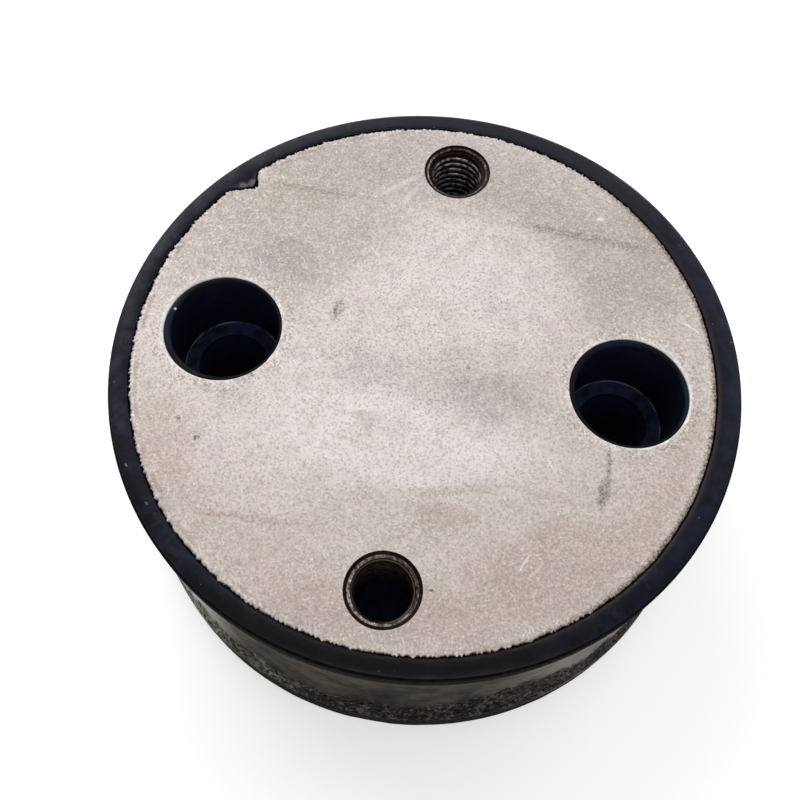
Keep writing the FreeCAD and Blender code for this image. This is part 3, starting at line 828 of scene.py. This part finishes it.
def rim_rubber():
    """Satin blue-black rubber round the plate, mottled and a little dusty, with painted light:
    lighter towards the back, darker in front and lighter on the notch's facets.
    """
    s = Surface("rim_rubber")
    from_axis = s.radius()
    mottle = s.noise(3.2, 4.0, 0.6, 0.3)
    fine = s.noise(0.5, 4.0, 0.6)
    x, y, _ = s.split()
    blotch = s.noise(5.0, 4.0, 0.65, 0.5, s.turned(0.0, shift=(7.0, 3.0, 0.0)))
    colour = s.mix(s.curve(mottle, 0.38, 0.62), srgb(2, 3, 7), srgb(16, 21, 32))
    colour = s.mix(s.curve(blotch, 0.52, 0.64, 0.0, 0.8), colour, srgb(36, 31, 45))
    colour = s.mix(s.curve(blotch, 0.46, 0.36, 0.0, 0.9), colour, srgb(1, 1, 3))
    # Painted highlight: lighter towards the back, where the light falls on the rim.
    colour = s.mix(s.curve(y, 30.0, 54.0, 0.0, 0.7), colour, srgb(31, 32, 38))
    # It is bluer on the right, and browner and darker in front, the darkness being painted shade.
    right = s.mix(s.curve(mottle, 0.38, 0.62), srgb(0, 3, 12), srgb(3, 11, 32))
    colour = s.mix(s.curve(x, 34.0, 56.0, 0.0, 0.8), colour, right)
    near = s.mix(s.curve(mottle, 0.38, 0.62), srgb(7, 5, 2), srgb(18, 13, 7))
    colour = s.mix(s.curve(y, -40.0, -58.0, 0.0, 0.9), colour, near)
    brown = s.times(s.curve(from_axis, 57.6, 56.7), s.curve(x, 20.0, 44.0, 0.0, 0.6))
    colour = s.mix(brown, colour, srgb(46, 35, 29))
    # Painted highlight on the notch's two facets.
    for place in NOTCH_FACETS:
        facet_highlight = s.spot(place, (1.3, 1.4), 20.0, s.warped(0.8, 0.9))
        colour = s.mix(s.times(facet_highlight, 0.8), colour, srgb(104, 94, 102))
    dusty = s.curve(s.noise(9.0, 1.0), 0.5, 0.6, 0.0, 0.6)
    dust = s.times(s.curve(s.noise(0.7, 2.0, 0.4), 0.73, 0.78), dusty)
    for place, share in RIM_DUST:
        speck = s.spot(place, (0.55, 0.26), -35.0, s.warped(0.7, 0.6))
        dust = s.math("MAXIMUM", dust, s.times(speck, share))
    colour = s.mix(dust, colour, srgb(124, 128, 132))
    bump = s.bump(mottle, 0.25, 0.4, s.bump(fine, 0.05, 0.5))
    s.set(Specular_IOR_Level=0.225, Specular_Tint=(0.77, 0.8, 1.0, 1.0))
    s.set(Base_Color=colour, Normal=bump, Roughness=s.curve(mottle, 0.3, 0.7, 0.5, 0.36))
    return s.material


def dull_rubber(name, rust):
    """Dull black rubber beside the plate, on the rim's face and on the foot, with rusty grains."""
    s = Surface(name)
    grains = s.noise(0.6, 2.0)
    x, _, _ = s.split()
    rusty = s.curve(x, 12.0, 38.0, 0.45 * rust, rust)
    colour = s.mix(s.curve(s.noise(2.0, 3.0), 0.35, 0.65), srgb(4, 4, 4), srgb(14, 12, 11))
    colour = s.mix(s.times(s.curve(grains, 0.54, 0.64), rusty), colour, srgb(50, 34, 26))
    s.set(Specular_IOR_Level=0.04)
    s.set(Base_Color=colour, Normal=s.bump(grains, 0.15, 0.6),
          Roughness=s.curve(grains, 0.3, 0.7, 0.95, 0.8))
    return s.material


def wall_rubber():
    """Matt rubber of the wall: black under the rim, a grey bloom of dust with painted sheen and a
    painted reflection on it, a crumbled band with painted shade between its crumbs, a dark foot.
    """
    s = Surface("wall_rubber")
    x, y, z = s.split()
    mottle = s.noise(2.6, 4.0, 0.6, 0.3)
    fine = s.noise(0.5, 3.0, 0.6)
    # Crumbs of the torn band, each with its own tone.
    cells = s.node("ShaderNodeTexVoronoi", {"Vector": s.warped(0.9, 1.3), "Scale": 1 / 0.85})
    cell_tone = s.curve(cells.node.outputs["Color"], 0.35, 0.65, 0.12, 1.0)
    colour = s.mix(s.curve(mottle, 0.35, 0.65), srgb(4, 4, 4), srgb(9, 8, 8))
    # The bloom is dust, brown and blotched on the front, and grey and whole elsewhere; that it is
    # lighter and reaches lower away from the front is partly painted sheen.
    around = s.math("ARCTAN2", y, x)
    off_front = s.math("ABSOLUTE", s.math("ADD", around, math.pi / 2))
    front = s.curve(off_front, 0.75, 0.3)
    streaks = s.noise(1.0, 3.0, 0.5, 0.3, s.turned(0.0, (9.0, 9.0, 1.4)))
    brown = s.mix(s.curve(s.noise(5.0, 4.0, 0.6), 0.38, 0.62), srgb(73, 65, 56), srgb(45, 43, 38))
    brown = s.mix(s.curve(x, 16.0, 34.0, 0.0, 0.7), brown, srgb(86, 68, 62))
    # Painted reflection: the wall is lighter on the left.
    left_reflection = s.times(s.curve(x, -26.0, -50.0), s.curve(y, 30.0, 0.0))
    grey = s.mix(left_reflection, srgb(92, 86, 81), srgb(206, 202, 194))
    bloom_tone = s.mix(front, grey, brown)
    bloom_foot = s.curve(front, 0.0, 1.0, -4.0, 6.0)
    bloom = s.times(s.curve(z, bloom_foot, s.math("ADD", bloom_foot, 15.0)),
                    s.curve(z, 44.1, 43.6))
    bloom = s.times(bloom, s.curve(s.noise(7.0, 4.0, 0.6), 0.3, 0.56,
                                   s.curve(front, 0.0, 1.0, 0.78, 0.35), 1.0))
    bloom = s.times(bloom, s.curve(streaks, 0.35, 0.6, 0.84, 1.0))
    colour = s.mix(bloom, colour, bloom_tone)
    turn = s.math("ADD", s.times(around, 0.5 / math.pi), 0.5)
    torn_edge = s.table(turn, [(a + 180) / 360 for a in TORN_ANGLES], TORN_HEIGHTS, 20.0)
    torn_edge = s.math("ADD", torn_edge, s.curve(s.noise(3.0, 3.0), 0.2, 0.8, -1.6, 2.2))
    torn = s.times(s.curve(z, 6.8, 8.2),
                   s.curve(s.math("SUBTRACT", torn_edge, z), -0.8, 1.2))
    leftwards = s.curve(x, -6.0, -42.0)
    colour = s.mix(s.times(torn, 0.8), colour,
                   s.mix(leftwards, srgb(25, 22, 21), srgb(98, 94, 85)))
    crumbs = s.times(torn, s.times(s.curve(cells, 0.62, 0.4), cell_tone))
    crumbs = s.times(crumbs, s.curve(s.noise(6.0, 2.0), 0.35, 0.6, 0.35, 1.0))
    colour = s.mix(crumbs, colour, s.mix(leftwards, srgb(90, 83, 77), srgb(156, 151, 139)))
    # Painted shade in the gaps between the crumbs.
    gap_shade = s.times(s.curve(cells, 0.56, 0.72), s.curve(fine, 0.56, 0.44, 0.6, 1.0))
    colour = s.mix(s.times(torn, gap_shade), colour, srgb(4, 3, 3))
    low = s.times(s.curve(z, 7.6, 6.6), s.curve(mottle, 0.3, 0.7, 0.75, 1.0))
    colour = s.mix(low, colour, srgb(10, 8, 7))
    bump = s.bump(mottle, 0.2, 0.4, s.bump(fine, 0.08, 0.7))
    bump = s.bump(s.times(s.curve(cells, 0.8, 0.2), torn), 0.3, 0.7, bump)
    dusty = s.math("SUBTRACT", bloom, torn, clamp=True)
    s.set(Sheen_Tint=(1.0, 0.95, 0.89, 1.0), Specular_IOR_Level=0.09)
    sheen = s.math("ADD", s.curve(front, 0.0, 1.0, 0.38, 0.0), s.times(left_reflection, 0.12))
    s.set(Base_Color=colour, Normal=bump, Roughness=s.curve(mottle, 0.3, 0.7, 0.85, 0.7),
          Sheen_Weight=s.times(dusty, sheen))
    return s.material


def bore_rubber():
    """Clean rubber of the sleeves, ledges and shank bores, with painted light: lighter and bluer on
    the ledges and down the shank bores, a painted highlight where the sleeves meet the ledges, and
    lighter parts on the lips.
    """
    s = Surface("bore_rubber")
    _, _, z = s.split()
    mottle = s.noise(3.0, 3.0)
    colour = s.mix(s.curve(mottle, 0.35, 0.65), srgb(14, 13, 30), srgb(20, 18, 38))
    # Painted light: the upward-facing ledges are lighter.
    lit_ledge = s.times(s.curve(z, 32.8, 33.0), s.curve(z, 33.7, 33.2))
    lit_ledge = s.times(lit_ledge, s.curve(s.noise(2.4, 3.0), 0.35, 0.62, 0.35, 1.0))
    colour = s.mix(lit_ledge, colour, srgb(46, 54, 86))
    # Painted highlight along the foot of each sleeve, where it meets the ledge.
    corner_highlight = s.times(s.curve(z, 33.1, 33.16), s.curve(z, 33.42, 33.32))
    corner_highlight = s.times(corner_highlight, s.curve(s.noise(3.4, 3.0), 0.4, 0.6, 0.1, 0.9))
    colour = s.mix(corner_highlight, colour, srgb(130, 138, 152))
    # Painted light: lighter down the shank bores.
    colour = s.mix(s.curve(z, 32.6, 31.0), colour, srgb(38, 40, 78))
    # Painted light: the lips show most on the left of the hole at -X.
    lip = s.curve(z, 48.1, 48.5)
    colour = s.mix(lip, colour, srgb(11, 10, 12))
    for place, size, tone in LIT_LIP_TONES:
        colour = s.mix(s.times(lip, s.spot(place, size)), colour, tone)
    s.set(Specular_IOR_Level=0.12, Specular_Tint=(0.7, 0.78, 1.0, 1.0))
    s.set(Base_Color=colour, Normal=s.bump(s.noise(0.9, 3.0), 0.05, 0.4),
          Roughness=s.math("ADD", s.curve(mottle, 0.3, 0.7, 0.6, 0.45),
                           s.curve(z, 32.6, 31.0, 0.0, 0.4)))
    return s.material


def floor_material():
    """White sweep that shows as white, keeps the block's shadow and lights it from below."""
    s = Surface("studio_floor")
    s.set(Base_Color=(0.9, 0.9, 0.9, 1.0), Roughness=0.9)
    rays = s.tree.nodes.new("ShaderNodeLightPath")
    seen = s.math("MAXIMUM", rays.outputs["Is Camera Ray"], rays.outputs["Is Glossy Ray"])
    glow = s.curve(s.radius(), 300.0, 1100.0, 0.4, 0.75)
    s.set(Emission_Color=(1.0, 1.0, 1.0, 1.0), Emission_Strength=s.times(seen, glow))
    return s.material


# The floor, in metres: half its width, and how far it lies under the block.
FLOOR_REACH, FLOOR_DROP = 6.0, 0.00002


def make_floor():
    mesh = bpy.data.meshes.new("studio_floor")
    corners = [(x * FLOOR_REACH, y * FLOOR_REACH, -FLOOR_DROP)
               for x, y in ((-1, -1), (1, -1), (1, 1), (-1, 1))]
    mesh.from_pydata(corners, [], [(0, 1, 2, 3)])
    mesh.materials.append(floor_material())
    floor = bpy.data.objects.new("studio_floor", mesh)
    bpy.context.scene.collection.objects.link(floor)


# Strength of the room light at the horizon and overhead.
ROOM_LOW, ROOM_OVERHEAD = 0.7, 0.25
# Each softbox: direction round the block and height over the floor in degrees, and watts.
SOFTBOXES = (("softbox_back_left", 130.0, 42.0, 5.2), ("softbox_back_right", 50.0, 45.0, 2.4),
             ("softbox_front", -75.0, 40.0, 2.8))
SOFTBOX_DISTANCE, SOFTBOX_SIZE = 1.1, 0.8
SOFTBOX_AIM = (0.0, 0.0, 0.03)


def add_softbox(name, place, aim, size, power):
    """Square area lamp, placed and aimed in metres."""
    lamp = bpy.data.lights.new(name, "AREA")
    lamp.shape = "SQUARE"
    lamp.size = size
    lamp.energy = power
    item = bpy.data.objects.new(name, lamp)
    item.location = place
    item.rotation_mode = "QUATERNION"
    item.rotation_quaternion = (Vector(aim) - Vector(place)).to_track_quat("-Z", "Y")
    bpy.context.scene.collection.objects.link(item)


def light_scene():
    """Soft room light, brighter low down than overhead, and three softboxes."""
    world = bpy.data.worlds.new("studio")
    bpy.context.scene.world = world
    world.use_nodes = True
    nodes, links = world.node_tree.nodes, world.node_tree.links
    background = nodes["Background"]
    background.inputs["Color"].default_value = (1.0, 1.0, 1.0, 1.0)
    place = nodes.new("ShaderNodeTexCoord")
    split = nodes.new("ShaderNodeSeparateXYZ")
    links.new(place.outputs["Generated"], split.inputs[0])
    room = nodes.new("ShaderNodeMapRange")
    for index, value in ((1, 0.0), (2, 1.0), (3, ROOM_LOW), (4, ROOM_OVERHEAD)):
        room.inputs[index].default_value = value
    links.new(split.outputs["Z"], room.inputs[0])
    rays = nodes.new("ShaderNodeLightPath")
    level = nodes.new("ShaderNodeMapRange")
    level.inputs[4].default_value = 1.0
    links.new(rays.outputs["Is Camera Ray"], level.inputs[0])
    links.new(room.outputs[0], level.inputs[3])
    links.new(level.outputs[0], background.inputs["Strength"])
    for name, turn, height, power in SOFTBOXES:
        turn, height = math.radians(turn), math.radians(height)
        place = Vector((math.cos(turn) * math.cos(height), math.sin(turn) * math.cos(height),
                        math.sin(height))) * SOFTBOX_DISTANCE
        add_softbox(name, place, SOFTBOX_AIM, SOFTBOX_SIZE, power)


# The camera, as solved from the outlines of the plate and its holes. It looks at the middle of
# the top and is then turned off it. Its distance and lens are in millimetres.
CAMERA_ELEVATION = 62.65
CAMERA_DISTANCE = 184.63
CAMERA_TURN = 4.17
CAMERA_YAW, CAMERA_PITCH, CAMERA_ROLL = 1.1918, -2.5691, 5.4102
LENS = 43.185


def turned(vector, axis, degrees):
    return Matrix.Rotation(math.radians(degrees), 3, axis) @ vector


def make_camera():
    elevation = math.radians(CAMERA_ELEVATION)
    away = Vector((0, -math.cos(elevation), math.sin(elevation)))
    forward, right = -away, Vector((1, 0, 0))
    up = right.cross(forward)
    forward = turned(forward, up, CAMERA_YAW)
    forward, up = turned(forward, right, CAMERA_PITCH), turned(up, right, CAMERA_PITCH)
    right = forward.cross(up)
    roll = math.radians(CAMERA_ROLL)
    side = right * math.cos(roll) + up * math.sin(roll)
    top = up * math.cos(roll) - right * math.sin(roll)
    data = bpy.data.cameras.new("camera")
    data.lens = LENS
    data.sensor_width = 36.0
    data.clip_start, data.clip_end = 0.005, 50.0
    camera = bpy.data.objects.new("camera", data)
    axes = Matrix((side, top, -forward)).transposed()
    spin = Matrix.Rotation(math.radians(CAMERA_TURN), 3, "Z")
    camera.matrix_world = Matrix.LocRotScale(
        spin @ away * CAMERA_DISTANCE * MM + Vector((0, 0, TOP * MM)),
        (spin @ axes).to_quaternion(), Vector((1, 1, 1)))
    bpy.context.scene.collection.objects.link(camera)
    bpy.context.scene.camera = camera


def main():
    rubber = make_rubber([rim_rubber(), bore_rubber(), wall_rubber(),
                          dull_rubber("groove_rubber", 1.0), dull_rubber("dull_rubber", 0.12)])
    top_plate = make_top_plate([blasted_steel(), machined_steel_painted_glint(), tapped_steel()])
    base_plate = make_base_plate([plain_steel()])
    for piece, node, slot in ((rubber, "rubber_body", "rubber"),
                              (top_plate, "top_plate", "plate_steel"),
                              (base_plate, "base_plate", "plate_steel")):
        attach(piece, "root")
        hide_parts(node)
    make_floor()
    light_scene()
    make_camera()
    bpy.context.scene.view_settings.view_transform = "Standard"


main()
